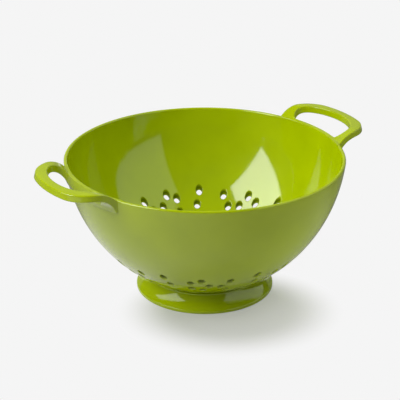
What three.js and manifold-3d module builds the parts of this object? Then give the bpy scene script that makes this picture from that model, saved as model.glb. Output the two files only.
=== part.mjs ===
// Melamine colander: a perforated half-ellipsoid bowl with two upswept loop handles on a flared foot ring.
// Millimetres, +Z up, origin at the middle of the foot's base, handles along X.

import * as THREE from 'three';
import { mergeVertices } from 'three/addons/utils/BufferGeometryUtils.js';
import Module from 'manifold-3d';

// Bowl shell
const RIM_RADIUS = 120; // outside of the rim
const RIM_HEIGHT = 121.6; // top of the rim above the table
const BOWL_BOTTOM = 2.9; // lowest point of the shell's outside above the table
const CENTRE_ABOVE_RIM = 14.7; // the outside is an ellipse whose centre lies this far above the rim
const RIM_WALL = 3; // wall at the rim, which is fully rounded
const FLOOR_WALL = 4.4; // wall in the middle of the floor

// Drain holes, straight and upright, in a motif that is repeated round the bowl
const HOLE_DIAMETER = 6.2;
const MOTIF_COUNT = 7;
const PETAL_WEB = 3.3; // wall between neighbouring petals of a flower
const FLOWER_RADIUS = 79.6; // flower centre to the bowl's axis
const FLOWER_ANGLE = 79; // degrees from +X
const FLOWER_TURN = -2; // degrees that its middle petal is turned from the tangent
const PETALS = 5;
const SPRIG_RADIUS = 78.6; // the open flower of three petals beside it
const SPRIG_ANGLE = 98;
const SPRIG_PETALS = 3;
const PAIR_INNER_RADIUS = 79.5; // two holes in line between the flowers
const PAIR_INNER_ANGLE = 61.6;
const PAIR_WEB = 2.9; // wall between the two, along the radius
const PAIR_OUTER_ANGLE = 59.9;
const FLOOR_RING_RADII = [18, 34]; // rings of holes in the floor, round one in the middle

// Loop handles
const HANDLE_REACH = 32.5; // outside of the bar beyond the rim
const HANDLE_HALF_WIDTH = 43; // half of the loop across its two arms
const HANDLE_CORNER = 26; // outer corner radius between an arm and the bar
const HANDLE_BAR_RADIUS = 100; // shallow curve along the outside of the bar
const HANDLE_BAR_WIDTH = 9.6; // bar across its middle
const HANDLE_ARM_WIDTH = 9.5; // arm across, beside the finger hole
const HANDLE_THICKNESS = 6; // bar from top to bottom
const HANDLE_LIFT = 8.3; // top of the bar above the rim
const HANDLE_SWEEP = 18; // distance out from the rim over which the loop rises
const HANDLE_ROOT_DEPTH = 11.5; // how far the root runs down the wall
const ROOT_FILLET = 3; // radius between an arm and the wall, seen from above
const GAP_CORNER = 6; // inner corner radius of the finger hole
const GAP_BAND = 1.2; // band that the loop leaves along the rim beside the finger hole

// Foot ring and its bond to the shell
const FOOT_RADIUS = 60; // outside of the base
const FOOT_LIP = 2.6; // upright edge round the base
const FOOT_NECK_RADIUS = 50.5; // outside at the top
const FLARE_FIRST = 27; // degrees: part of an arc that is upright at 0 and level at 90
const FLARE_LAST = 63;
const FOOT_WALL = 4.2;
const FOOT_BASE_WIDTH = 5; // flat ring that stands on the table
const BOND_THICKNESS = 0.8;

// Fit between neighbours
const CLEARANCE = 0.3;
const OVERRUN = 25; // how far a cutting solid runs past the piece that it cuts

// Facets
const ROUND_SEGMENTS = 70; // round the axis
const WALL_STEPS = 12; // along the bowl's profile, from axis to rim
const EDGE_STEPS = 4; // round the rim's edge
const SWEEP_STEPS = 6; // along a handle's rise and along the foot's flare
const HOLE_SIDES = 8;
const CURVE_SEGMENTS = 7; // along each arc of a handle's outline
const MERGE_DISTANCE = 1e-3; // corners closer than this are one

const wasm = await Module();
wasm.setup();

const FULL_TURN = 360; // degrees
const TANGENT = FULL_TURN / 4; // from the radius to the tangent, in degrees
const QUARTER = Math.PI / 2; // a quarter turn, which also turns a lathe's or cylinder's axis from Y to Z
const radians = THREE.MathUtils.degToRad;

// The shell's two ellipses share their centre.
const centreHeight = RIM_HEIGHT + CENTRE_ABOVE_RIM;
const outerHalfHeight = centreHeight - BOWL_BOTTOM;
const outerHalfWidth = RIM_RADIUS / Math.sqrt(1 - (CENTRE_ABOVE_RIM / outerHalfHeight) ** 2);
const innerHalfHeight = outerHalfHeight - FLOOR_WALL;
const innerHalfWidth = outerHalfWidth - RIM_WALL;

// Points of an ellipse about the shared centre, from the axis up to a height.
function ellipseWall(halfWidth, halfHeight, topHeight, steps) {
  const last = Math.acos((centreHeight - topHeight) / halfHeight);
  const points = [];
  for (let i = 0; i <= steps; i += 1) {
    const angle = (last * i) / steps;
    points.push(new THREE.Vector2(halfWidth * Math.sin(angle), centreHeight - halfHeight * Math.cos(angle)));
  }
  points[0].x = 0;
  return points;
}

// Radius of the shell's outside at a height.
function wallRadius(height) {
  return outerHalfWidth * Math.sqrt(1 - ((centreHeight - height) / outerHalfHeight) ** 2);
}

// Height of the shell's underside at a radius, lowered by a gap.
function undersideHeight(radius, gap) {
  const share = radius / (outerHalfWidth + gap);
  return centreHeight - (outerHalfHeight + gap) * Math.sqrt(1 - share * share);
}

// A closed mesh as a solid that can be joined and cut.
function solid(geometry) {
  const bare = geometry.clone();
  bare.deleteAttribute('normal');
  bare.deleteAttribute('uv');
  const merged = mergeVertices(bare, MERGE_DISTANCE);
  const corners = merged.index.array;
  const triangles = [];
  for (let i = 0; i < corners.length; i += 3) {
    const [a, b, c] = [corners[i], corners[i + 1], corners[i + 2]];
    if (a !== b && b !== c && c !== a) triangles.push(a, b, c);
  }
  const vertProperties = new Float32Array(merged.attributes.position.array);
  const triVerts = new Uint32Array(triangles);
  return new wasm.Manifold(new wasm.Mesh({ numProp: 3, vertProperties, triVerts }));
}

// A finished solid as a named mesh.
function piece(name, body, material) {
  const { vertProperties, triVerts } = body.getMesh();
  const geometry = new THREE.BufferGeometry();
  geometry.setAttribute('position', new THREE.BufferAttribute(new Float32Array(vertProperties), 3));
  geometry.setIndex(new THREE.BufferAttribute(new Uint32Array(triVerts), 1));
  geometry.computeVertexNormals();
  const mesh = new THREE.Mesh(geometry, material);
  mesh.name = name;
  return mesh;
}

function lathe(points) {
  return solid(new THREE.LatheGeometry(points, ROUND_SEGMENTS).rotateX(QUARTER));
}

// Drop of an arc below its level end, at a distance from that end: round, or a quarter ellipse if steep.
function arcDrop(distance, run, drop) {
  if (drop > run) return drop * (1 - Math.sqrt(1 - (distance / run) ** 2));
  const radius = (run * run + drop * drop) / (2 * drop);
  return radius - Math.sqrt(radius * radius - distance * distance);
}

// Plan position at a radius and an angle in degrees.
function polar(radius, angle) {
  return new THREE.Vector2(radius * Math.cos(radians(angle)), radius * Math.sin(radians(angle)));
}

// Petal centre to flower centre.
const flowerRing = (HOLE_DIAMETER + PETAL_WEB) / (2 * Math.sin(Math.PI / PETALS));

// Petal centres of a flower, or of a few of its petals, spread about a middle petal turned from the radius.
function petals(radius, angle, count, turn) {
  const middle = polar(radius, angle);
  const spread = FULL_TURN / PETALS;
  const centres = [];
  for (let i = 0; i < count; i += 1) {
    const step = i - Math.floor(count / 2);
    centres.push(polar(flowerRing, angle + turn + step * spread).add(middle));
  }
  return centres;
}

// Plan centres of all drain holes.
function holeCentres() {
  const centres = [new THREE.Vector2(0, 0)];
  const sector = FULL_TURN / MOTIF_COUNT;
  const pairOuterRadius = PAIR_INNER_RADIUS + HOLE_DIAMETER + PAIR_WEB;
  for (let i = 0; i < MOTIF_COUNT; i += 1) {
    const turn = i * sector;
    centres.push(...petals(FLOWER_RADIUS, FLOWER_ANGLE + turn, PETALS, TANGENT + FLOWER_TURN));
    centres.push(...petals(SPRIG_RADIUS, SPRIG_ANGLE + turn, SPRIG_PETALS, -TANGENT));
    centres.push(polar(PAIR_INNER_RADIUS, PAIR_INNER_ANGLE + turn));
    centres.push(polar(pairOuterRadius, PAIR_OUTER_ANGLE + turn));
    FLOOR_RING_RADII.forEach((radius, ring) => centres.push(polar(radius, turn + (ring * sector) / 2)));
  }
  return centres;
}

// Shell: outer ellipse, round edge, inner ellipse, then every hole cut straight down.
function makeBowl() {
  const edgeRadius = RIM_WALL / 2;
  const edgeHeight = RIM_HEIGHT - edgeRadius;
  const outer = ellipseWall(outerHalfWidth, outerHalfHeight, edgeHeight, WALL_STEPS);
  const inner = ellipseWall(innerHalfWidth, innerHalfHeight, edgeHeight, WALL_STEPS);
  const outerEdge = outer[outer.length - 1].x;
  const innerEdge = inner[inner.length - 1].x;
  const edge = [];
  for (let i = 1; i < EDGE_STEPS; i += 1) {
    const angle = (Math.PI * i) / EDGE_STEPS;
    const radius = (outerEdge + innerEdge) / 2 + ((outerEdge - innerEdge) / 2) * Math.cos(angle);
    edge.push(new THREE.Vector2(radius, edgeHeight + edgeRadius * Math.sin(angle)));
  }
  const shell = lathe([...outer, ...edge, ...inner.reverse()]);
  const pin = new THREE.CylinderGeometry(HOLE_DIAMETER / 2, HOLE_DIAMETER / 2, RIM_HEIGHT, HOLE_SIDES);
  pin.rotateX(QUARTER).translate(0, 0, RIM_HEIGHT / 2);
  const drills = holeCentres().map((at) => solid(pin.clone().translate(at.x, at.y, 0)));
  return drills.reduce((body, drill) => body.subtract(drill), shell);
}

// Loop seen from above: fillets out of the wall, arms, round corners and a bowed bar, with the finger hole.
function handlePlan() {
  const reach = RIM_RADIUS + HANDLE_REACH;
  const barCentre = reach - HANDLE_BAR_RADIUS;
  const bendV = HANDLE_HALF_WIDTH - HANDLE_CORNER;
  const bendU = barCentre + Math.sqrt((HANDLE_BAR_RADIUS - HANDLE_CORNER) ** 2 - bendV ** 2);
  const bendAngle = Math.asin(bendV / (HANDLE_BAR_RADIUS - HANDLE_CORNER));
  const rootRadius = wallRadius(RIM_HEIGHT - HANDLE_ROOT_DEPTH);
  const filletV = HANDLE_HALF_WIDTH + ROOT_FILLET;
  const filletU = Math.sqrt((rootRadius + ROOT_FILLET) ** 2 - filletV ** 2);
  const rootAngle = Math.atan2(filletV, filletU);
  const inside = rootRadius - HANDLE_SWEEP;
  const plan = new THREE.Shape();
  plan.moveTo(inside * Math.cos(rootAngle), -inside * Math.sin(rootAngle));
  plan.lineTo(rootRadius * Math.cos(rootAngle), -rootRadius * Math.sin(rootAngle));
  plan.absarc(filletU, -filletV, ROOT_FILLET, Math.PI - rootAngle, QUARTER, true);
  plan.absarc(bendU, -bendV, HANDLE_CORNER, -QUARTER, -bendAngle, false);
  plan.absarc(barCentre, 0, HANDLE_BAR_RADIUS, -bendAngle, bendAngle, false);
  plan.absarc(bendU, bendV, HANDLE_CORNER, bendAngle, QUARTER, false);
  plan.absarc(filletU, filletV, ROOT_FILLET, -QUARTER, rootAngle - Math.PI, true);
  plan.lineTo(inside * Math.cos(rootAngle), inside * Math.sin(rootAngle));
  plan.closePath();

  const bandRadius = RIM_RADIUS + GAP_BAND;
  const gapHalf = HANDLE_HALF_WIDTH - HANDLE_ARM_WIDTH;
  const cornerV = gapHalf - GAP_CORNER;
  const cornerU = Math.sqrt((bandRadius + GAP_CORNER) ** 2 - cornerV ** 2);
  const cornerAngle = Math.atan2(cornerV, cornerU);
  const gapDepth = reach - HANDLE_BAR_WIDTH - cornerU;
  const gap = new THREE.Path();
  gap.moveTo(cornerU, -gapHalf);
  gap.absellipse(cornerU, 0, gapDepth, gapHalf, -QUARTER, QUARTER, false);
  gap.absarc(cornerU, cornerV, GAP_CORNER, QUARTER, Math.PI + cornerAngle, false);
  gap.absarc(0, 0, bandRadius, cornerAngle, -cornerAngle, true);
  gap.absarc(cornerU, -cornerV, GAP_CORNER, Math.PI - cornerAngle, 3 * QUARTER, false);
  plan.holes.push(gap);
  return plan;
}

// Ring whose section is the loop's rise: level at the bar, swept down to the wall at the root.
function handleRise() {
  const barTop = RIM_HEIGHT + HANDLE_LIFT;
  const barBottom = barTop - HANDLE_THICKNESS;
  const rootBottom = RIM_HEIGHT - HANDLE_ROOT_DEPTH;
  const rootDrop = barBottom - rootBottom;
  const outside = RIM_RADIUS + HANDLE_REACH + OVERRUN;
  const top = [new THREE.Vector2(outside, barTop)];
  const bottom = [new THREE.Vector2(outside, barBottom)];
  for (let i = 0; i <= SWEEP_STEPS; i += 1) {
    const inward = (HANDLE_SWEEP * i) / SWEEP_STEPS;
    const radius = RIM_RADIUS + HANDLE_SWEEP - inward;
    top.push(new THREE.Vector2(radius, barTop - arcDrop(inward, HANDLE_SWEEP, HANDLE_LIFT)));
    bottom.push(new THREE.Vector2(radius, barBottom - arcDrop(inward, HANDLE_SWEEP, rootDrop)));
  }
  const inside = RIM_RADIUS - HANDLE_SWEEP;
  top.push(new THREE.Vector2(inside, RIM_HEIGHT));
  bottom.push(new THREE.Vector2(inside, rootBottom));
  const section = [...bottom.reverse(), ...top];
  return lathe([...section, section[0].clone()]);
}

// Everything inside the shell's outside, and above it, with the clearance for a handle's root.
function bowlRoom() {
  const wall = ellipseWall(
    outerHalfWidth + CLEARANCE,
    outerHalfHeight + CLEARANCE,
    RIM_HEIGHT,
    WALL_STEPS,
  );
  const rim = wall[wall.length - 1];
  const above = RIM_HEIGHT + HANDLE_LIFT + OVERRUN;
  return lathe([...wall, new THREE.Vector2(rim.x, above), new THREE.Vector2(0, above)]);
}

// Right-hand loop: plan and rise crossed, then cut back to the shell.
function makeHandle() {
  const low = RIM_HEIGHT - HANDLE_ROOT_DEPTH - OVERRUN;
  const depth = HANDLE_ROOT_DEPTH + HANDLE_LIFT + 2 * OVERRUN;
  const block = new THREE.ExtrudeGeometry(handlePlan(), {
    depth,
    bevelEnabled: false,
    curveSegments: CURVE_SEGMENTS,
  });
  return solid(block.translate(0, 0, low)).intersect(handleRise()).subtract(bowlRoom());
}

// Gap between the foot's top and the shell, with the bond in it.
const footGap = BOND_THICKNESS + 2 * CLEARANCE;

// Flared ring: outside and inside are hollow arcs, steep at the neck and flatter towards the base.
function makeFoot() {
  const neckInside = FOOT_NECK_RADIUS - FOOT_WALL;
  const outsideTop = undersideHeight(FOOT_NECK_RADIUS, footGap);
  const insideTop = undersideHeight(neckInside, footGap);
  const flareOut = FOOT_RADIUS - FOOT_NECK_RADIUS;
  const flareIn = FOOT_RADIUS - FOOT_BASE_WIDTH - neckInside;
  const first = radians(FLARE_FIRST);
  const last = radians(FLARE_LAST);
  const outside = [];
  const inside = [];
  for (let i = 0; i <= SWEEP_STEPS; i += 1) {
    const angle = first + ((last - first) * i) / SWEEP_STEPS;
    const out = (Math.cos(first) - Math.cos(angle)) / (Math.cos(first) - Math.cos(last));
    const down = (Math.sin(angle) - Math.sin(first)) / (Math.sin(last) - Math.sin(first));
    outside.push(
      new THREE.Vector2(FOOT_NECK_RADIUS + flareOut * out, outsideTop - (outsideTop - FOOT_LIP) * down),
    );
    inside.push(new THREE.Vector2(neckInside + flareIn * out, insideTop - insideTop * down));
  }
  const base = new THREE.Vector2(FOOT_RADIUS, 0);
  const section = [...inside, base, ...outside.reverse()];
  return lathe([...section, section[0].clone()]);
}

// Thin ring of adhesive between the foot's top and the shell.
function makeBond() {
  const inner = FOOT_NECK_RADIUS - FOOT_WALL + CLEARANCE;
  const outer = FOOT_NECK_RADIUS - CLEARANCE;
  const below = CLEARANCE + BOND_THICKNESS;
  const section = [
    new THREE.Vector2(inner, undersideHeight(inner, below)),
    new THREE.Vector2(outer, undersideHeight(outer, below)),
    new THREE.Vector2(outer, undersideHeight(outer, CLEARANCE)),
    new THREE.Vector2(inner, undersideHeight(inner, CLEARANCE)),
  ];
  return lathe([...section, section[0].clone()]);
}

const melamine = new THREE.MeshStandardMaterial({ color: '#a5be00', roughness: 0.18, metalness: 0 });
const adhesive = new THREE.MeshStandardMaterial({ color: '#d9dcc0', roughness: 0.5, metalness: 0 });

const colander = new THREE.Group();
const rightHandle = makeHandle();
colander.add(piece('bowl', makeBowl(), melamine.clone()));
colander.add(piece('handle_right', rightHandle, melamine.clone()));
const leftHandle = piece('handle_left', rightHandle, melamine.clone());
leftHandle.rotation.z = Math.PI;
colander.add(leftHandle);
colander.add(piece('foot_ring', makeFoot(), melamine.clone()));
colander.add(piece('foot_bond', makeBond(), adhesive));

export default colander;
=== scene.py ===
# %% [markdown]
# # A melamine colander, piece by piece
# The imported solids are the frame: they give every size and place. Each lesson below takes one piece of the real
# colander, says what it is and how it could be made, and makes a smooth skin for it in the same place.

# %% Load the frame
import bpy
import numpy as np
from mathutils import Matrix, Vector
from mathutils.geometry import delaunay_2d_cdt


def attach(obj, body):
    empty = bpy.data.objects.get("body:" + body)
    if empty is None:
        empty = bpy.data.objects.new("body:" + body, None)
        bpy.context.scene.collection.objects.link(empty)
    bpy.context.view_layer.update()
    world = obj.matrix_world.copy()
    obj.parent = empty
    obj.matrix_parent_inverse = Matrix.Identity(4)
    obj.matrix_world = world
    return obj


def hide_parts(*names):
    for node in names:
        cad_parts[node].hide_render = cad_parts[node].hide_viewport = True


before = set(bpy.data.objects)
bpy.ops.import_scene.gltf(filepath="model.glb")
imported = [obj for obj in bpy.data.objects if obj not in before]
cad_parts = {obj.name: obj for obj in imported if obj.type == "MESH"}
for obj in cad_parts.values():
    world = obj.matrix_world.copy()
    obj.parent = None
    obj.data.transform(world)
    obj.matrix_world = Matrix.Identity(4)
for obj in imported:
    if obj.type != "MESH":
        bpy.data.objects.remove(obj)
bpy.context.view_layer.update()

MM = 0.001
print("CAD nodes:", sorted(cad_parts))

# %% [markdown]
# ## From arrays to a piece
# A surface could be modelled by hand, vertex by vertex. Here every surface is worked out as arrays of points
# in millimetres, and one function puts the finished arrays into a mesh. It also stores the surface's own
# normals, because a polished bowl shows every small error of averaged ones in its reflections.

# %% Array helpers
TINY, SAME_DECIMALS = 1e-12, 5


def unit(vectors):
    """Each vector divided by its length."""
    return vectors / np.maximum(np.linalg.norm(vectors, axis=-1, keepdims=True), TINY)


def at_height(plan, height):
    """Plan positions, written as complex numbers x + iy, and heights as x, y, z."""
    return np.stack([plan.real, plan.imag, height], -1)


def circle(count):
    """Points of the unit circle in the plan, evenly spaced."""
    return np.exp(2j * np.pi * np.arange(count) / count)


def carried_round(line, count):
    """A profile r + iz carried once round the axis: a row of points x, y, z for each point of the profile."""
    return at_height(np.multiply.outer(line.real, circle(count)), np.repeat(line.imag[:, None], count, 1))


def grid_triangles(rows, columns, close_rows=False, close_columns=False):
    """Two triangles for each cell of a grid of rows by columns; a closed side joins the last line to the first."""
    i, j = np.meshgrid(np.arange(rows if close_rows else rows - 1),
                       np.arange(columns if close_columns else columns - 1), indexing="ij")
    a = i * columns + j
    b = i * columns + (j + 1) % columns
    c = ((i + 1) % rows) * columns + (j + 1) % columns
    d = ((i + 1) % rows) * columns + j
    return np.concatenate([np.stack([a, b, c], -1).reshape(-1, 3), np.stack([a, c, d], -1).reshape(-1, 3)])


# %% Mesh helper
def make_mesh(name, points, triangles, normals):
    """A smooth mesh in metres from points in millimetres, with its own normals."""
    mesh = bpy.data.meshes.new(name)
    mesh.vertices.add(len(points))
    mesh.vertices.foreach_set("co", (points * MM).astype(np.float32).ravel())
    mesh.loops.add(triangles.size)
    mesh.loops.foreach_set("vertex_index", triangles.astype(np.int32).ravel())
    mesh.polygons.add(len(triangles))
    mesh.polygons.foreach_set("loop_start", np.arange(0, triangles.size, 3, dtype=np.int32))
    mesh.polygons.foreach_set("use_smooth", np.ones(len(triangles), bool))
    mesh.update(calc_edges=True)
    mesh.normals_split_custom_set_from_vertices(normals.tolist())
    return mesh


def make_piece(name, points, triangles, normals, material, bore=None):
    """Join equal points, turn each triangle to the side its normals point to, and make the mesh object."""
    keys = np.round(points, SAME_DECIMALS)
    _, first, index = np.unique(keys, axis=0, return_index=True, return_inverse=True)
    points, normals, triangles = points[first], unit(normals[first]), index.reshape(-1)[triangles]
    distinct = ((triangles[:, 0] != triangles[:, 1]) & (triangles[:, 1] != triangles[:, 2])
                & (triangles[:, 2] != triangles[:, 0]))
    triangles = triangles[distinct]
    corner = points[triangles]
    facing = np.cross(corner[:, 1] - corner[:, 0], corner[:, 2] - corner[:, 0])
    inward = np.einsum("ij,ij->i", facing, normals[triangles].sum(1)) < 0
    triangles[inward] = triangles[inward][:, ::-1]
    mesh = make_mesh(name, points, triangles, normals)
    if bore is not None:
        mesh.attributes.new("bore", "FLOAT", "POINT").data.foreach_set("value", bore[first].astype(np.float32))
    mesh.materials.append(material)
    piece = bpy.data.objects.new(name, mesh)
    bpy.context.scene.collection.objects.link(piece)
    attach(piece, "root")
    corner = points[triangles]
    volume = np.einsum("ij,ij->i", corner[:, 0], np.cross(corner[:, 1], corner[:, 2])).sum() / 6
    edges = np.sort(triangles[:, [0, 1, 1, 2, 2, 0]].reshape(-1, 2), axis=1)
    _, uses = np.unique(edges, axis=0, return_counts=True)
    print(f"{name}: {len(triangles)} triangles, {volume / 1000:.1f} cm3, open edges {(uses != 2).sum()}")
    return piece


# %% [markdown]
# ## The finish: polished melamine
# Melamine resin with cellulose filler is pressed hot in a polished steel mould. The colour goes right through,
# the skin is hard and glossy, and its index of about 1.6 gives clear mirror images of the studio's softboxes.
# A flat colour would look like paint, so broad clouds of filler shift the tone a little, a finer one shifts the
# polish, and a very shallow waviness of the mould bends the reflections. The drain holes are drilled, so their
# walls are duller; their tone is darkened with painted shade, strongest part way down. The mesh marks them with
# an attribute called bore.

# %% Node helpers
def linear(hex_colour):
    """An sRGB hex colour as linear RGBA."""
    value = np.array([int(hex_colour[i:i + 2], 16) for i in (1, 3, 5)]) / 255
    return (*np.where(value <= 0.04045, value / 12.92, ((value + 0.055) / 1.055) ** 2.4).tolist(), 1.0)


def add(tree, kind, settings=None, **links):
    """Add one node; settings are its own properties, links set an input to a value or join a socket to it."""
    node = tree.nodes.new(kind)
    for key, value in (settings or {}).items():
        setattr(node, key, value)
    for key, value in links.items():
        socket = node.inputs[int(key[1:])] if key[1:].isdigit() else node.inputs[key.replace("_", " ")]
        if isinstance(value, bpy.types.NodeSocket):
            tree.links.new(value, socket)
        else:
            socket.default_value = value
    return node


def new_material(name):
    """An empty node material, and its tree."""
    material = bpy.data.materials.new(name)
    material.use_nodes = True
    material.node_tree.nodes.clear()
    return material, material.node_tree


def noise(tree, place, size_mm, **settings):
    """The value of a noise whose clouds are about size_mm across."""
    return add(tree, "ShaderNodeTexNoise", Vector=place, Scale=1000 / size_mm, **settings).outputs["Fac"]


def two_tones(tree, pattern, tones, ends=(0.0, 1.0)):
    """A colour that goes from the first tone to the second as a pattern goes from one end to the other."""
    ramp = add(tree, "ShaderNodeValToRGB", Fac=pattern)
    for element, end, tone in zip(ramp.color_ramp.elements, ends, tones):
        element.position, element.color = end, linear(tone)
    return ramp.outputs["Color"]


# %% Melamine
CLOUD_MM, POLISH_MM, WAVE_MM, WAVE_DEPTH_MM, WAVE_STRENGTH = 45.0, 9.0, 14.0, 0.01, 0.5
# The deeper lime of the hole walls is painted shade.
LIMES, BORE_PAINTED_SHADE = ("#A3B600", "#AEC100"), "#5C6A00"
NOISE_ENDS = (0.3, 0.7)  # most values of a noise lie between these
MELAMINE_IOR, POLISH, BORE_ROUGHNESS, SHINE, BORE_SHINE = 1.6, (0.05, 0.1), 0.4, 0.5, 0.1
melamine, tree = new_material("moulded_melamine_lime")
place = add(tree, "ShaderNodeTexCoord").outputs["Object"]
tone = two_tones(tree, noise(tree, place, CLOUD_MM, Detail=3.0, Roughness=0.5), LIMES, NOISE_ENDS)
polish = noise(tree, place, POLISH_MM, Detail=4.0, Roughness=0.6)
rough = add(tree, "ShaderNodeMapRange", Value=polish, From_Min=NOISE_ENDS[0], From_Max=NOISE_ENDS[1],
            To_Min=POLISH[0], To_Max=POLISH[1])
bump = add(tree, "ShaderNodeBump", Height=noise(tree, place, WAVE_MM, Detail=1.0), Strength=WAVE_STRENGTH,
           Distance=WAVE_DEPTH_MM * MM)
# The bore attribute darkens the tone towards a deeper lime, painted shade inside the holes, and dulls the polish
# there.
bore_dull_and_shade = add(tree, "ShaderNodeAttribute", {"attribute_name": "bore"}).outputs["Fac"]
depth = add(tree, "ShaderNodeMix", {"data_type": "RGBA"}, _0=bore_dull_and_shade, _6=tone, _7=linear(BORE_PAINTED_SHADE))
dull = add(tree, "ShaderNodeMapRange", Value=bore_dull_and_shade, To_Min=rough.outputs["Result"], To_Max=BORE_ROUGHNESS)
shine = add(tree, "ShaderNodeMapRange", Value=bore_dull_and_shade, To_Min=SHINE, To_Max=BORE_SHINE)
skin = add(tree, "ShaderNodeBsdfPrincipled", Base_Color=depth.outputs[2], Roughness=dull.outputs["Result"],
           IOR=MELAMINE_IOR, Specular_IOR_Level=shine.outputs["Result"], Normal=bump.outputs["Normal"])
add(tree, "ShaderNodeOutputMaterial", Surface=skin.outputs["BSDF"])
print("finish:", melamine.name, "with", len(tree.nodes), "nodes")

# %% [markdown]
# ## The bond
# A thin bead of cured adhesive holds the foot ring to the shell. It sits inside the joint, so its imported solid
# stays as it is and only gets a finish: pale, slightly cloudy, matt.

# %% Adhesive
BEAD_CLOUD_MM, BEAD_TONES, BEAD_ROUGHNESS, BEAD_IOR = 6.0, ("#CFD3B2", "#E3E6CF"), 0.5, 1.5
adhesive, tree = new_material("cured_adhesive_pale")
place = add(tree, "ShaderNodeTexCoord").outputs["Object"]
tone = two_tones(tree, noise(tree, place, BEAD_CLOUD_MM, Detail=2.0), BEAD_TONES)
skin = add(tree, "ShaderNodeBsdfPrincipled", Base_Color=tone, Roughness=BEAD_ROUGHNESS, IOR=BEAD_IOR)
add(tree, "ShaderNodeOutputMaterial", Surface=skin.outputs["BSDF"])
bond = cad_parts["foot_bond"]
bond.data.materials.clear()
bond.data.materials.append(adhesive)
print("finish:", adhesive.name, "on", bond.name)

# %% [markdown]
# ## The bowl's form
# The shell is pressed between two halves of a mould. It could be turned as one thick profile, but its holes
# need both faces as formulas. Inside and outside are two ellipsoids about one centre above the rim, so the wall
# thins from floor to rim. Both are functions of the plan position, which is written as a complex number x + iy:
# turning by an angle is then one multiplication.

# %% Bowl sizes
RIM_RADIUS, RIM_HEIGHT, BOWL_BOTTOM, CENTRE_ABOVE_RIM = 120.0, 121.6, 2.9, 14.7
RIM_WALL, FLOOR_WALL = 3.0, 4.4
CENTRE = RIM_HEIGHT + CENTRE_ABOVE_RIM
OUT_HALF_HEIGHT = CENTRE - BOWL_BOTTOM
OUT_HALF_WIDTH = RIM_RADIUS / np.sqrt(1 - (CENTRE_ABOVE_RIM / OUT_HALF_HEIGHT) ** 2)
OUTSIDE = (OUT_HALF_WIDTH, OUT_HALF_HEIGHT)
INSIDE = (OUT_HALF_WIDTH - RIM_WALL, OUT_HALF_HEIGHT - FLOOR_WALL)


def turned(radius, degrees):
    """Plan position at a radius and an angle, as a complex number."""
    return radius * np.exp(1j * np.radians(degrees))


def shell_height(plan, side):
    """Height of an ellipsoid at plan positions: centre minus half height times root of 1 - (r / half width)^2."""
    return CENTRE - side[1] * np.sqrt(1 - (np.abs(plan) / side[0]) ** 2)


def shell_normal(points, side):
    """The ellipsoid's gradient: away from the wall, so outwards on the outside and inwards on the inside."""
    slope = (points - [0, 0, CENTRE]) / np.square([side[0], side[0], side[1]])
    return unit(slope) * (1 if side is OUTSIDE else -1)


print("outside half axes:", np.round(OUTSIDE, 2), "inside half axes:", np.round(INSIDE, 2))

# %% [markdown]
# ## The drain holes
# The holes go straight down through the wall, in a motif of a flower, three petals and a pair that is repeated
# seven times, with one hole and two plain rings in the floor. Cutting them with a Boolean would leave ragged
# shading, so the plan between the holes is triangulated once, and lifted onto both sides of the wall. Each hole is
# then a small tube whose two edges are rounded.

# %% Hole centres
HOLE_RADIUS, PETALS, PETAL_WEB, PAIR_WEB, MOTIFS, FLOOR_RINGS = 3.1, 5, 3.3, 2.9, 7, (18.0, 34.0)
FLOWER, SPRIG, PAIR_INNER = (79.6, 79.0), (78.6, 98.0), (79.5, 61.6)  # radius and angle of each group
PAIR_OUTER_ANGLE, FLOWER_TURN, SPRIG_TURN = 59.9, 88.0, -90.0
PETAL_STEP, MOTIF_STEP = 360.0 / PETALS, 360.0 / MOTIFS
petal_ring = (2 * HOLE_RADIUS + PETAL_WEB) / (2 * np.sin(np.pi / PETALS))
motif = np.concatenate([
    turned(*FLOWER) + turned(petal_ring, FLOWER[1] + FLOWER_TURN + PETAL_STEP * np.arange(-2, 3)),
    turned(*SPRIG) + turned(petal_ring, SPRIG[1] + SPRIG_TURN + PETAL_STEP * np.arange(-1, 2)),
    [turned(*PAIR_INNER), turned(PAIR_INNER[0] + 2 * HOLE_RADIUS + PAIR_WEB, PAIR_OUTER_ANGLE)],
    [turned(FLOOR_RINGS[0], 0.0), turned(FLOOR_RINGS[1], MOTIF_STEP / 2)],
])
holes = np.concatenate([[0j], np.multiply.outer(turned(1.0, MOTIF_STEP * np.arange(MOTIFS)), motif).ravel()])
print("drain holes:", len(holes))

# %% Plan of the perforated part
EDGE_ROUND, RING_POINTS, ROUND_POINTS, PLAN_RADIUS, PLAN_STEP = 0.6, 32, 240, 97.0, 4.0
COLLAR, CLEAR_OF_HOLES, CLEAR_OF_BORDER = 0.9, 2.2, 1.0  # spacing of the plan's points round holes and border
INSIDE_LIP, PLAN_EPSILON = 0.98, 1e-6
LIP_RADIUS = HOLE_RADIUS + EDGE_ROUND
ring = circle(RING_POINTS)
lips = np.add.outer(holes, LIP_RADIUS * ring)
collars = np.add.outer(holes, (LIP_RADIUS + COLLAR) * ring * np.exp(1j * np.pi / RING_POINTS))
radii = np.arange(0, PLAN_RADIUS - CLEAR_OF_BORDER, PLAN_STEP)
counts = np.maximum(1, np.round(2 * np.pi * radii / PLAN_STEP)).astype(int)
filling = np.repeat(radii, counts) * np.exp(2j * np.pi * np.concatenate([np.arange(n) / n for n in counts]))
clear = np.abs(np.subtract.outer(filling, holes)).min(1) > LIP_RADIUS + CLEAR_OF_HOLES
plan = np.concatenate([lips.ravel(), collars.ravel(), filling[clear], PLAN_RADIUS * circle(ROUND_POINTS)])
start = np.arange(lips.size).reshape(lips.shape)
lip_edges = np.stack([start, np.roll(start, -1, 1)], -1).reshape(-1, 2)
flat = np.stack([plan.real, plan.imag], -1).tolist()
found, _, cells, *_ = delaunay_2d_cdt(flat, lip_edges.tolist(), [], 0, PLAN_EPSILON, False)
assert len(found) == len(plan)
cells = np.array(cells)
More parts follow.
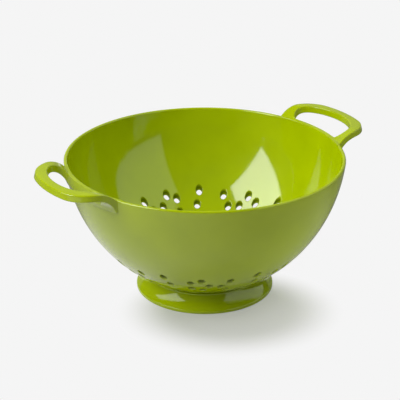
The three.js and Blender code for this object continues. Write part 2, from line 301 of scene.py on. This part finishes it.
to_hole = np.abs(np.subtract.outer(plan[cells].mean(1), holes)).min(1)
cells = cells[to_hole > HOLE_RADIUS + EDGE_ROUND * INSIDE_LIP]
print("plan triangles:", len(cells))


# %% Upper wall and rim
def upper_wall(inner_steps=24, edge_steps=12):
    """Profile up the inside, over the round rim and down the outside, carried once round the axis."""
    edge_round = RIM_WALL / 2
    edge_height = RIM_HEIGHT - edge_round
    lines = []
    for side in (INSIDE, OUTSIDE):
        first, last = np.arcsin(PLAN_RADIUS / side[0]), np.arccos((CENTRE - edge_height) / side[1])
        angle = np.linspace(first, last, inner_steps)
        lines.append(side[0] * np.sin(angle) + 1j * (CENTRE - side[1] * np.cos(angle)))
    inner, outer = lines
    middle, half = (inner[-1].real + outer[-1].real) / 2, (outer[-1].real - inner[-1].real) / 2
    turn = np.pi * np.arange(1, edge_steps) / edge_steps
    crown = middle - half * np.cos(turn) + 1j * (edge_height + edge_round * np.sin(turn))
    profile = np.concatenate([inner, crown, outer[::-1]])
    points = carried_round(profile, ROUND_POINTS)
    normals = carried_round(np.gradient(profile) * 1j, ROUND_POINTS)
    normals[:inner_steps - 1] = shell_normal(points[:inner_steps - 1], INSIDE)
    normals[1 - inner_steps:] = shell_normal(points[1 - inner_steps:], OUTSIDE)
    return points, normals


wall_points, wall_normals = upper_wall()
print("upper wall:", wall_points.shape[0], "rows, top at", round(wall_points[..., 2].max(), 2), "mm")

# %% Hole tubes
OUTSIDE_EDGE = 0.5  # height of the outside lip as a share of the inside one
DULL_AND_SHADE_DEPTH, UPPER_DULL_AND_SHADE, DULL_AND_SHADE_FROM = 0.45, 0.35, 2  # share of the way down to full dullness and painted shade; the share above it, and the row it starts from


def hole_tubes(arc_steps=5):
    """For each hole: a quarter-round lip off the inside, straight down, a quarter-round lip onto the outside."""
    turn = np.linspace(0, np.pi / 2, arc_steps)
    radius = HOLE_RADIUS + EDGE_ROUND * (1 - np.sin(turn))
    drop = EDGE_ROUND * (1 - np.cos(turn))
    ways = holes[:, None, None] + radius[None, :, None] * ring[None, None, :]
    upper = at_height(ways, shell_height(ways, INSIDE) - drop[None, :, None])
    lower = at_height(ways, shell_height(ways, OUTSIDE) + OUTSIDE_EDGE * drop[None, :, None])[:, ::-1]
    middle = upper[:, -1:] * (1 - DULL_AND_SHADE_DEPTH) + lower[:, :1] * DULL_AND_SHADE_DEPTH
    tube = np.concatenate([upper, middle, lower], 1)
    down = np.gradient(tube, axis=1)
    about = np.roll(tube, -1, 2) - np.roll(tube, 1, 2)
    normals = unit(np.cross(about, down))
    to_axis = at_height(-np.broadcast_to(ring, tube.shape[:-1]), np.zeros(tube.shape[:-1]))
    normals *= np.sign(np.einsum("hkmi,hkmi->hkm", normals, to_axis))[..., None]
    normals[:, 0] = shell_normal(tube[:, 0], INSIDE)
    normals[:, -1] = shell_normal(tube[:, -1], OUTSIDE)
    return tube, normals


tube_points, tube_normals = hole_tubes()
tube_rows = tube_points.shape[1]
one_tube = grid_triangles(tube_rows, RING_POINTS, close_columns=True)
tube_starts = np.arange(len(holes)) * tube_rows * RING_POINTS
tube_cells = (one_tube[None] + tube_starts[:, None, None]).reshape(-1, 3)
# Painted shade and dullness in each hole: a little from part way round the inside lip, full at the middle row, fading
# to none where the outside lip begins.
dull_and_shaded_bore = np.zeros(tube_points.shape[:3])
dull_and_shaded_bore[:, DULL_AND_SHADE_FROM:tube_rows // 2] = UPPER_DULL_AND_SHADE
dull_and_shaded_bore[:, tube_rows // 2] = 1.0
print("hole tubes:", len(tube_points), "with", len(tube_cells), "triangles")

# %% Bowl piece
inside_points = at_height(plan, shell_height(plan, INSIDE))
outside_points = at_height(plan, shell_height(plan, OUTSIDE))
blocks = [
    (inside_points, shell_normal(inside_points, INSIDE), cells),
    (outside_points, shell_normal(outside_points, OUTSIDE), cells),
    (wall_points.reshape(-1, 3), wall_normals.reshape(-1, 3),
     grid_triangles(len(wall_points), ROUND_POINTS, close_columns=True)),
    (tube_points.reshape(-1, 3), tube_normals.reshape(-1, 3), tube_cells),
]
offsets = np.cumsum([0] + [len(block[0]) for block in blocks])
bowl = make_piece(
    "bowl_shell",
    np.concatenate([block[0] for block in blocks]),
    np.concatenate([block[2] + offset for block, offset in zip(blocks, offsets)]),
    np.concatenate([block[1] for block in blocks]),
    melamine, np.concatenate([np.zeros(offsets[3]), dull_and_shaded_bore.ravel()]))
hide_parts("bowl")

# %% [markdown]
# ## The loop handles
# Seen from above, a handle is an outline with a finger hole; seen from the side, it sweeps up out of the rim to a
# level bar. A swept tube couldn't follow both, because the loop widens into its root. So a grid of rays runs from
# the outline in to the finger hole, all round the loop, and its height comes from the side view. The sides lean a
# little, as a moulding's do: the bar narrows towards its top, the finger hole widens there, and the arms narrow
# slightly underneath. The outer edge of the top droops a little, and the edges are rolled over.

# %% Handle outline
REACH, HALF_WIDTH, CORNER, BAR_RADIUS, BAR_WIDTH, ARM_WIDTH = 32.44, 43.0, 26.0, 100.0, 9.6, 9.5
THICKNESS, LIFT, SWEEP, ROOT_DEPTH, ROOT_FILLET, GAP_CORNER, GAP_BAND = 6.0, 8.3, 18.0, 11.5, 3.0, 6.0, 1.2
WALL_SEAT, ROOT_TUCK = 116.95, 1.5  # radius of the seat in the wall, and degrees that it runs past the fillet


def arc(centre, radius, first, last, steps=60):
    """Points of a circle about a plan centre, from one angle to another."""
    return centre + radius * np.exp(1j * np.linspace(first, last, steps))


def mirrored(half):
    """A half line from the root to the bar, then its mirror image back to the other root."""
    return np.concatenate([half, np.conj(half[::-1])])


def loop_outline():
    """Outer line: fillet tangent to the wall at the root's foot, straight arm, round corner, arc along the bar."""
    seat = OUT_HALF_WIDTH * np.sqrt(1 - ((CENTRE - RIM_HEIGHT + ROOT_DEPTH) / OUT_HALF_HEIGHT) ** 2)
    fillet_y = HALF_WIDTH + ROOT_FILLET
    fillet = np.sqrt((seat + ROOT_FILLET) ** 2 - fillet_y ** 2) - 1j * fillet_y
    root = -np.angle(fillet)
    bar_centre, bend_y = RIM_RADIUS + REACH - BAR_RADIUS, HALF_WIDTH - CORNER
    bend_x = bar_centre + np.sqrt((BAR_RADIUS - CORNER) ** 2 - bend_y ** 2)
    bend = np.arcsin(bend_y / (BAR_RADIUS - CORNER))
    return mirrored(np.concatenate([
        [turned(WALL_SEAT, -np.degrees(root) - ROOT_TUCK)],
        arc(fillet, ROOT_FILLET, np.pi - root, np.pi / 2),
        arc(bend_x - 1j * bend_y, CORNER, -np.pi / 2, -bend),
        arc(bar_centre, BAR_RADIUS, -bend, 0)[1:],
    ]))


def gap_outline(bar_steps=120):
    """Finger hole: half an ellipse towards the bar, two small corners and an arc along the rim."""
    band, gap_half = RIM_RADIUS + GAP_BAND, HALF_WIDTH - ARM_WIDTH
    corner_y = gap_half - GAP_CORNER
    corner_x = np.sqrt((band + GAP_CORNER) ** 2 - corner_y ** 2)
    corner_angle = np.arctan2(corner_y, corner_x)
    turn = np.linspace(0, np.pi / 2, bar_steps)
    bar_reach = RIM_RADIUS + REACH - BAR_WIDTH - corner_x
    bar_side = corner_x + bar_reach * np.cos(turn) + 1j * gap_half * np.sin(turn)
    corner = arc(corner_x + 1j * corner_y, GAP_CORNER, np.pi / 2, np.pi + corner_angle)
    rim_side = arc(0, band, corner_angle, 0)
    half = np.concatenate([bar_side, corner[1:], rim_side[1:]])
    return np.concatenate([half, np.conj(half[::-1])[1:-1]])


def evenly(line, step):
    """A line's points again, about one step apart."""
    length = np.concatenate([[0], np.cumsum(np.abs(np.diff(line)))])
    want = np.linspace(0, length[-1], int(length[-1] / step) + 1)
    return np.interp(want, length, line.real) + 1j * np.interp(want, length, line.imag)


# %% Rays of a handle
OUTLINE_STEP, EYE_REACH = 0.7, 11.0
free_edge = evenly(loop_outline(), OUTLINE_STEP)
seat_edge = arc(0, WALL_SEAT, np.angle(free_edge[-1]), np.angle(free_edge[0]))[1:-1]
outer_edge = np.concatenate([free_edge, seat_edge])
is_free = np.arange(len(outer_edge)) < len(free_edge)
eye = RIM_RADIUS + EYE_REACH
bearing = np.unwrap(np.angle(outer_edge - eye))
gap_line = gap_outline()
gap_bearing = np.unwrap(np.angle(gap_line - eye))
gap_reach = np.interp(bearing, gap_bearing, np.abs(gap_line - eye), period=2 * np.pi)
inner_edge = eye + gap_reach * np.exp(1j * bearing)
print("rays round the loop:", len(outer_edge), "all one way round:", bool(np.all(np.diff(bearing) > 0)))

# %% Handle surface
EDGE_ROLL, DROOP_REACH, DROOP_DEPTH, RIM_ROLL, SECTION_STEPS, LEAST_SLANT = 0.9, 5.0, 0.4, 0.7, 32, 0.3
BAR_LEAN, ARM_LEAN, LEAN_RADII, GAP_LEAN = 0.9, -0.3, (120.0, 148.0), 0.6
SIDE_SHARES = np.array([0.1, 0.35, 0.65, 0.9])


def arc_drop(inward, drop):
    """Drop of the round arc that falls by drop over the sweep, at a distance in from its level end."""
    radius = (SWEEP ** 2 + drop ** 2) / (2 * drop)
    return radius - np.sqrt(radius ** 2 - np.clip(inward, 0, SWEEP) ** 2)


def rolled(distance, reach, depth):
    """Drop of a rolled edge: depth at the edge, a quarter ellipse, nothing beyond its reach."""
    share = np.clip(1 - distance / reach, 0, 1)
    return depth * (1 - np.sqrt(1 - share ** 2))


def edge_slant(edge, ray):
    """Cosine between each ray and the edge's own normal, which turns a length along the ray into a distance."""
    tangent = np.roll(edge, -1) - np.roll(edge, 1)
    slant = np.abs(np.imag(tangent / np.abs(tangent) * np.conj(ray)))
    return np.maximum(slant, LEAST_SLANT)[:, None]


def loop_surface():
    """Section loop at each ray: top, leaning side of the finger hole, underside, leaning outer side."""
    span = inner_edge - outer_edge
    length, ray = np.abs(span)[:, None], (span / np.abs(span))[:, None]
    slant, gap_slant = edge_slant(outer_edge, ray[:, 0]), edge_slant(inner_edge, ray[:, 0])
    free = is_free[:, None]
    share = (1 - np.cos(np.pi * np.arange(SECTION_STEPS + 1) / SECTION_STEPS)) / 2
    edge = np.where(free, EDGE_ROLL, RIM_ROLL)
    bar_top = RIM_HEIGHT + LIFT

    def section(lean, gap_lean):
        """Plan places between the edges, how far out they lie, their distance from the outline, and the roll."""
        run = length - lean / slant - gap_lean / gap_slant
        place = outer_edge[:, None] + ray * (lean / slant + run * share)
        from_outline, from_gap = run * share * slant, run * (1 - share) * gap_slant
        roll = np.maximum(rolled(from_outline, edge, edge), rolled(from_gap, EDGE_ROLL, EDGE_ROLL))
        return place, np.abs(place), from_outline, roll

    lean = np.interp(np.abs(outer_edge), LEAN_RADII, (ARM_LEAN, BAR_LEAN))[:, None] * free
    place, radius, from_outline, roll = section(np.maximum(lean, 0), GAP_LEAN)
    level = np.clip((radius - RIM_RADIUS) / SWEEP, 0, 1)
    droop = np.where(free, DROOP_DEPTH * level * np.clip(1 - from_outline / DROOP_REACH, 0, 1) ** 2, 0.0)
    upper = at_height(place, bar_top - arc_drop(RIM_RADIUS + SWEEP - radius, LIFT) - droop - roll)
    place, radius, _, roll = section(np.maximum(-lean, 0), 0.0)
    bottom = bar_top - THICKNESS - arc_drop(RIM_RADIUS + SWEEP - radius, LIFT - THICKNESS + ROOT_DEPTH)
    under = at_height(place, bottom + np.where(free, roll, 0.0))[:, ::-1]
    shares = SIDE_SHARES[:, None]
    gap_side = upper[:, -1:] * (1 - shares) + under[:, :1] * shares
    outer_side = under[:, -1:] * (1 - shares) + upper[:, :1] * shares
    return np.concatenate([upper, gap_side, under, outer_side], 1)


# %% Handle pieces
loop = loop_surface()
along = np.roll(loop, -1, 0) - np.roll(loop, 1, 0)
across = np.roll(loop, -1, 1) - np.roll(loop, 1, 1)
loop_normals = unit(np.cross(unit(along), unit(across)))
loop_normals *= np.sign(loop_normals[len(free_edge) // 2, SECTION_STEPS // 2, 2])
loop_cells = grid_triangles(*loop.shape[:2], close_rows=True, close_columns=True)
for name, side in (("handle_right", 1), ("handle_left", -1)):
    half_turn = np.array([side, side, 1])
    handle = make_piece(name + "_loop", (loop * half_turn).reshape(-1, 3), loop_cells,
                        (loop_normals * half_turn).reshape(-1, 3), melamine)
    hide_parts(name)

# %% [markdown]
# ## The foot ring
# The foot is a hollow skirt: steep under the shell, flatter towards a rounded lip. It could be cut from the
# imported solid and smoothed, but a lathe profile is the natural way; the lip's two edges are small arcs, and the
# top runs a hair into the shell so that no slit shows.

# %% Foot profile and piece
FOOT_RADIUS, FOOT_LIP, NECK_RADIUS, FOOT_WALL, BASE_WIDTH, FOOT_GAP = 60.0, 2.6, 50.5, 4.2, 5.0, 1.4
LIP_ROUND, LIP_TILT, BASE_ROUND, FLARE, SEAT_OVERLAP = 1.3, 1.0, 0.5, (27.0, 63.0), 0.3
FOOT_POINTS, FLARE_STEPS, LIP_STEPS, BASE_STEPS = 160, 28, 11, 7


def foot_profile():
    """Closed profile r + iz: hollow outside arc, rounded lip, flat base, hollow inside arc, seat in the shell."""
    def under(radius, gap):
        """Height of the shell's underside, let out by a gap."""
        return CENTRE - (OUT_HALF_HEIGHT + gap) * np.sqrt(1 - (radius / (OUT_HALF_WIDTH + gap)) ** 2)

    def flare(top, low):
        """Part of an arc that is upright at 0 and level at 90 degrees, stretched from a top to a low point."""
        return top.real + (low.real - top.real) * out + 1j * (top.imag - (top.imag - low.imag) * down)

    turn = np.radians(np.linspace(*FLARE, FLARE_STEPS))
    out = (np.cos(turn[0]) - np.cos(turn)) / (np.cos(turn[0]) - np.cos(turn[-1]))
    down = (np.sin(turn) - np.sin(turn[0])) / (np.sin(turn[-1]) - np.sin(turn[0]))
    neck_inside = NECK_RADIUS - FOOT_WALL
    lip_drop = LIP_ROUND * (1 - np.cos(LIP_TILT)) / np.sin(LIP_TILT)
    lip_top = arc(FOOT_RADIUS - LIP_ROUND + 1j * (FOOT_LIP - lip_drop), LIP_ROUND, LIP_TILT, 0, LIP_STEPS)
    lip_bottom = arc(FOOT_RADIUS - BASE_ROUND + 1j * BASE_ROUND, BASE_ROUND, 0, -np.pi / 2, BASE_STEPS)
    outside = flare(NECK_RADIUS + 1j * under(NECK_RADIUS, FOOT_GAP), lip_top[0])
    inside = flare(neck_inside + 1j * under(neck_inside, FOOT_GAP), FOOT_RADIUS - BASE_WIDTH + 0j)
    seat = [radius + 1j * (under(radius, 0) + SEAT_OVERLAP) for radius in (neck_inside, NECK_RADIUS)]
    return np.concatenate([outside, lip_top[1:], lip_bottom, inside[::-1], seat])


foot_line = foot_profile()
foot_across = 1j * unit((np.roll(foot_line, -1) - np.roll(foot_line, 1)).reshape(-1, 1)).ravel()
foot = make_piece("foot_ring_flare", carried_round(foot_line, FOOT_POINTS).reshape(-1, 3),
                  grid_triangles(len(foot_line), FOOT_POINTS, close_rows=True, close_columns=True),
                  carried_round(foot_across, FOOT_POINTS).reshape(-1, 3), melamine)
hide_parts("foot_ring")

# %% [markdown]
# ## The floor
# The colander stands on a pale seamless floor that the photograph shows as one even tone, with a pool of soft
# shadow in front of the foot. A plain lit floor would shade off everywhere, so the camera sees the matt floor and
# its shadow only inside an oval, and an even glow beyond it. The floor's colour is painted darker far from the
# colander, and for mirrored rays also to the right and behind: painted shade for the light that falls off in a
# real studio, in the light the floor bounces and in its reflections.

# %% Mask helpers
def product(tree, *factors):
    """Values multiplied with each other, as one socket."""
    result = factors[0]
    for factor in factors[1:]:
        result = add(tree, "ShaderNodeMath", {"operation": "MULTIPLY"}, _0=result, _1=factor).outputs["Value"]
    return result


def larger(tree, one, other):
    """The larger of two values, as one socket."""
    return add(tree, "ShaderNodeMath", {"operation": "MAXIMUM"}, _0=one, _1=other).outputs["Value"]


def vector_step(tree, operation, output, one, other=(0, 0, 0)):
    """The result of a step with vectors, as one socket."""
    return add(tree, "ShaderNodeVectorMath", {"operation": operation}, _0=one, _1=other).outputs[output]


def eased(tree, value, ends, levels):
    """A smooth change from one level to another while a value goes from one end to the other."""
    return add(tree, "ShaderNodeMapRange", {"interpolation_type": "SMOOTHSTEP"}, Value=value, From_Min=ends[0],
               From_Max=ends[1], To_Min=levels[0], To_Max=levels[1]).outputs["Result"]


def on_floor(sizes_mm, third):
    """Two sizes in millimetres as a vector in metres."""
    return (sizes_mm[0] * MM, sizes_mm[1] * MM, third)


# %% Floor masks
PHOTO_TURN, BACKDROP = -33.5, "#F5F5F5"  # degrees from the part's frame to the photo's, and the tone around it
# The far tone is painted shade: the floor's colour darkens away from the colander.
GRAIN_MM, FLOOR_TONES, FAR_PAINTED_SHADE = 2.5, ("#EEEEEE", "#F2F2F2"), "#7A7A7A"
POOL_CENTRE_MM, POOL_HALF_MM, POOL_FADE, POOL_LEAST = (22.0, -52.0), (94.0, 79.0), (0.5, 1.05), 0.26
SIDE_ENDS, GLOW_SHARES, MATT_SHARES = np.array([-150.0, 150.0]) * MM, (1.0, 0.1), (0.8, 0.5)
BEHIND_ENDS, BEHIND_SHARES = np.array([0.0, 120.0]) * MM, (1.0, 0.1)
NEAR_CENTRE_MM, NEAR_ENDS, NEAR_SHARES = (-50.0, -30.0), np.array([240.0, 480.0]) * MM, (1.0, 0.1)
floor_paint, tree = new_material("pale_floor")
place = add(tree, "ShaderNodeTexCoord").outputs["Object"]
seen_place = add(tree, "ShaderNodeVectorRotate", {"rotation_type": "Z_AXIS"}, Vector=place,
                 Angle=np.radians(-PHOTO_TURN)).outputs["Vector"]
axes = add(tree, "ShaderNodeSeparateXYZ", Vector=seen_place).outputs
from_pool = vector_step(tree, "SUBTRACT", "Vector", seen_place, on_floor(POOL_CENTRE_MM, 0))
in_pools = vector_step(tree, "DIVIDE", "Vector", from_pool, on_floor(POOL_HALF_MM, 1))
past_pool = eased(tree, vector_step(tree, "LENGTH", "Value", in_pools), POOL_FADE, (POOL_LEAST, 1.0))
# Masks for painted shade on the floor: darker far from the colander, to the right and behind.
distance = vector_step(tree, "DISTANCE", "Value", seen_place, on_floor(NEAR_CENTRE_MM, 0))
near_part = eased(tree, distance, NEAR_ENDS, NEAR_SHARES)
glow_side = eased(tree, axes["X"], SIDE_ENDS, GLOW_SHARES)
matt_side = eased(tree, axes["X"], SIDE_ENDS, MATT_SHARES)
behind = eased(tree, axes["Y"], BEHIND_ENDS, BEHIND_SHARES)
path = add(tree, "ShaderNodeLightPath").outputs
mirrored_ray = larger(tree, path["Is Glossy Ray"], path["Is Transmission Ray"])
print("floor masks:", len(tree.nodes), "nodes")

# %% Floor
FLOOR_HALF = 6.0
tone = two_tones(tree, noise(tree, place, GRAIN_MM, Detail=2.0), FLOOR_TONES)
# Painted shade: the matt colour darkens to the far tone away from the colander, and for mirrored rays also to the
# right and behind; the glow they see fades the same way.
kept = add(tree, "ShaderNodeMapRange", Value=mirrored_ray, To_Min=1.0, To_Max=product(tree, matt_side, behind))
lit = add(tree, "ShaderNodeMix", {"data_type": "RGBA"}, _0=product(tree, near_part, kept.outputs["Result"]),
          _6=linear(FAR_PAINTED_SHADE), _7=tone)
matt = add(tree, "ShaderNodeBsdfDiffuse", Color=lit.outputs[2])
glow = add(tree, "ShaderNodeEmission", Color=linear(BACKDROP), Strength=1.0)
seen = larger(tree, path["Is Camera Ray"], product(tree, mirrored_ray, glow_side, near_part, behind))
blend = add(tree, "ShaderNodeMixShader", _0=product(tree, past_pool, seen), _1=matt.outputs["BSDF"],
            _2=glow.outputs["Emission"])
add(tree, "ShaderNodeOutputMaterial", Surface=blend.outputs["Shader"])
floor_mesh = bpy.data.meshes.new("floor")
square = np.array([[-1, -1, 0], [1, -1, 0], [1, 1, 0], [-1, 1, 0]]) * FLOOR_HALF
floor_mesh.from_pydata(square.tolist(), [], [[0, 1, 2, 3]])
floor_mesh.materials.append(floor_paint)
floor = bpy.data.objects.new("floor", floor_mesh)
bpy.context.scene.collection.objects.link(floor)
print("floor:", 2 * FLOOR_HALF, "m square, finish", floor_paint.name)

# %% [markdown]
# ## The camera
# The photograph was taken from above the rim with a long lens. The camera could be placed by eye; here its place and
# turn were found by fitting the ellipses of rim and foot and the handles' ends.

# %% Camera
PITCH, YAW, CAMERA_PLACE, LENS, SENSOR, CLIP_END = 0.4116, -0.0037, (0, -1.11125, 0.56459), 126.35, 36.0, 50.0
to_part = Matrix.Rotation(np.radians(PHOTO_TURN), 3, "Z")
forward = to_part @ Vector((np.sin(YAW) * np.cos(PITCH), np.cos(YAW) * np.cos(PITCH), -np.sin(PITCH)))
side_way = forward.cross(Vector((0, 0, 1))).normalized()
up_way = side_way.cross(forward)
camera_data = bpy.data.cameras.new("photo_camera")
camera_data.sensor_width, camera_data.lens, camera_data.clip_end = SENSOR, LENS, CLIP_END
camera = bpy.data.objects.new("photo_camera", camera_data)
turn = Matrix((side_way, up_way, -forward)).transposed().to_4x4()
camera.matrix_world = Matrix.Translation(to_part @ Vector(CAMERA_PLACE)) @ turn
bpy.context.scene.collection.objects.link(camera)
bpy.context.scene.camera = camera
print("camera at", [round(x, 4) for x in camera.location])

# %% [markdown]
# ## The lights
# A wide, soft key from high up at the back left lights the colours and leaves the shadow in front. A large softbox
# at the left gives the side light and the bright patch inside the bowl, one at the right gives the paler patch, and
# a sheet behind gives a faint sheen. Two weak fills and a low card at the right lift the shaded side. Real softboxes
# light the colours and show as reflections at once. Here each job has lamps of its own, so that both can be set to
# the photograph, and the lamps for the colours, apart from the key, light the colander alone, so that the floor
# keeps its one shadow. Angles are as the photograph sees them: 0 is right, 90 is behind, -90 is the camera.

# %% Lamp helpers
AIM, SUN_DISTANCE = Vector((0, 0, 0.09)), 2.0
UP = Vector((0, 0, 1))


def heading(azimuth, elevation):
    """Unit vector towards an azimuth and elevation seen from the photo's side."""
    az, el = np.radians(azimuth + PHOTO_TURN), np.radians(elevation)
    return Vector((np.cos(el) * np.cos(az), np.cos(el) * np.sin(az), np.sin(el)))


def place_lamp(data, place, turn, receivers):
    """A lamp object at a place and turn, kept to its receivers if there are any."""
    lamp = bpy.data.objects.new(data.name, data)
    lamp.matrix_world = Matrix.Translation(place) @ turn.to_4x4()
    bpy.context.scene.collection.objects.link(lamp)
    if receivers:
        lamp.light_linking.receiver_collection = receivers
    print("lamp:", data.name, "for", receivers.name if receivers else "all pieces and the floor")
    return lamp


def sun(name, level, azimuth, elevation, spread, receivers=None):
    """A wide, soft sun that lights the colours and leaves no reflection of its own."""
    data = bpy.data.lights.new(name, "SUN")
    data.energy, data.angle = level, np.radians(spread)
    way = heading(azimuth, elevation)
    lamp = place_lamp(data, AIM + way * SUN_DISTANCE, way.to_track_quat("Z", "Y").to_matrix(), receivers)
    lamp.visible_glossy = False


def softbox(name, corner, edge_a, edge_b, colours, receivers=None):
    """A rectangle as bright as its level times white: for the colours, or else for the reflections."""
    data = bpy.data.lights.new(name, "AREA")
    data.shape, data.size, data.size_y = "RECTANGLE", edge_a.length, edge_b.length
    data.energy = LEVELS[name] * np.pi * edge_a.length * edge_b.length
    across, along = edge_a.normalized(), edge_b.normalized()
    facing = across.cross(along)
    if facing.dot(corner) < 0:
        across, facing = -across, -facing
    turn = Matrix((across, along, facing)).transposed()
    lamp = place_lamp(data, corner + (edge_a + edge_b) / 2, turn, receivers)
    lamp.visible_camera, lamp.visible_diffuse, lamp.visible_glossy = False, colours, not colours


def group(name, pieces):
    """A collection that a lamp's light can be kept to."""
    collection = bpy.data.collections.new(name)
    for piece in pieces:
        collection.objects.link(piece)
    return collection


# %% Lamps for the colours alone
SUNS = {  # level, azimuth, elevation and spread in degrees
    "key": (2.7, 135, 70, 140),
    "front_fill": (0.2, -155, 28, 60),
    "right_fill": (0.1, 0, 30, 60),
}
LEVELS = {"left_softbox": 3.7, "left_softbox_shine": 6.0, "left_softbox_foot_shine": 2.6, "right_softbox": 0.85,
          "floor_card": 0.43, "back_sheen": 0.25}
CARD_RIGHT, CARD_FRONT, CARD_HEIGHT, CARD_WIDTH, CARD_DEPTH, CARD_TILT = 0.09, 0.26, 0.004, 0.28, 0.36, 10
pieces = [o for o in bpy.data.objects if o.type == "MESH" and o != floor]
colander, foot_only = group("lit_colander", pieces), group("lit_foot", [foot])
all_but_foot = group("lit_above_foot", [o for o in pieces if o != foot])
for name, settings in SUNS.items():
    sun(name, *settings, receivers=None if name == "key" else colander)
rightwards, backwards = heading(0, 0), heading(90, 0)
card_corner = CARD_RIGHT * rightwards - CARD_FRONT * backwards + CARD_HEIGHT * UP
softbox("floor_card", card_corner, CARD_WIDTH * heading(0, CARD_TILT), CARD_DEPTH * backwards, True, colander)

# %% [markdown]
# The left softbox stands where rays to the edges of the bright patch lead after they are mirrored at the wall. Its
# two copies that only show as reflections stand a little nearer, and the one for the foot is dimmer.

# %% Softboxes
PATCH, LEFT_DISTANCE, HIGH_REACH, FAR_REACH, NEARER = Vector((0.088, 0.041, 0.064)), 1.4, 2.2, 1.15, 0.97
LOW_CORNER, HIGH_CORNER, FAR_CORNER = heading(-143.2, 14.5), heading(-125.6, 47.8), heading(170, 30.1)
RIGHT_SPOT, RIGHT_DISTANCE, RIGHT_BASE, TALL = Vector((0.01, 0.1, 0.07)), 2.0, 0.3, 2.6
RIGHT_NEAR, RIGHT_BACK = heading(-50, 0), heading(34, 0)
SHEET_DISTANCE, SHEET_HALF = 3.0, 2.5
for name, nearness, colours, receivers in (("left_softbox", 1.0, True, colander),
                                           ("left_softbox_shine", NEARER, False, all_but_foot),
                                           ("left_softbox_foot_shine", NEARER, False, foot_only)):
    reach = nearness * LEFT_DISTANCE
    softbox(name, PATCH + reach * LOW_CORNER, reach * (FAR_REACH * FAR_CORNER - LOW_CORNER),
            reach * (HIGH_REACH * HIGH_CORNER - LOW_CORNER), colours, receivers)
right_corner = RIGHT_SPOT + RIGHT_DISTANCE * RIGHT_BACK + RIGHT_BASE * UP
softbox("right_softbox", right_corner, RIGHT_DISTANCE * (RIGHT_NEAR - RIGHT_BACK), TALL * UP, False)
sheet_corner = SHEET_DISTANCE * backwards - SHEET_HALF * rightwards
softbox("back_sheen", sheet_corner, 2 * SHEET_HALF * rightwards, TALL * UP, False)

# %% [markdown]
# ## The background
# Behind the floor's edge lies the world. The camera sees it in the floor's even tone, and so do mirrored rays up to
# the horizon; higher up they see a dark room, so that the polish shows only softboxes and floor.

# %% World
AMBIENT, HORIZON_BAND = 0.03, (0.02, 0.06)
world = bpy.data.worlds.new("studio")
world.use_nodes = True
tree = world.node_tree
tree.nodes.clear()
path = add(tree, "ShaderNodeLightPath").outputs
mirrored_ray = larger(tree, path["Is Glossy Ray"], path["Is Transmission Ray"])
axes = add(tree, "ShaderNodeSeparateXYZ", Vector=add(tree, "ShaderNodeTexCoord").outputs["Generated"]).outputs
band = add(tree, "ShaderNodeMapRange", Value=axes["Z"], From_Min=HORIZON_BAND[0], From_Max=HORIZON_BAND[1],
           To_Min=1.0, To_Max=AMBIENT)
shown = larger(tree, product(tree, mirrored_ray, band.outputs["Result"]), path["Is Camera Ray"])
sky = add(tree, "ShaderNodeBackground", Color=linear(BACKDROP), Strength=larger(tree, shown, AMBIENT))
add(tree, "ShaderNodeOutputWorld", Surface=sky.outputs["Background"])
bpy.context.scene.world = world
bpy.context.scene.view_settings.view_transform = "Standard"
print("world:", world.name, "with an ambient level of", AMBIENT)
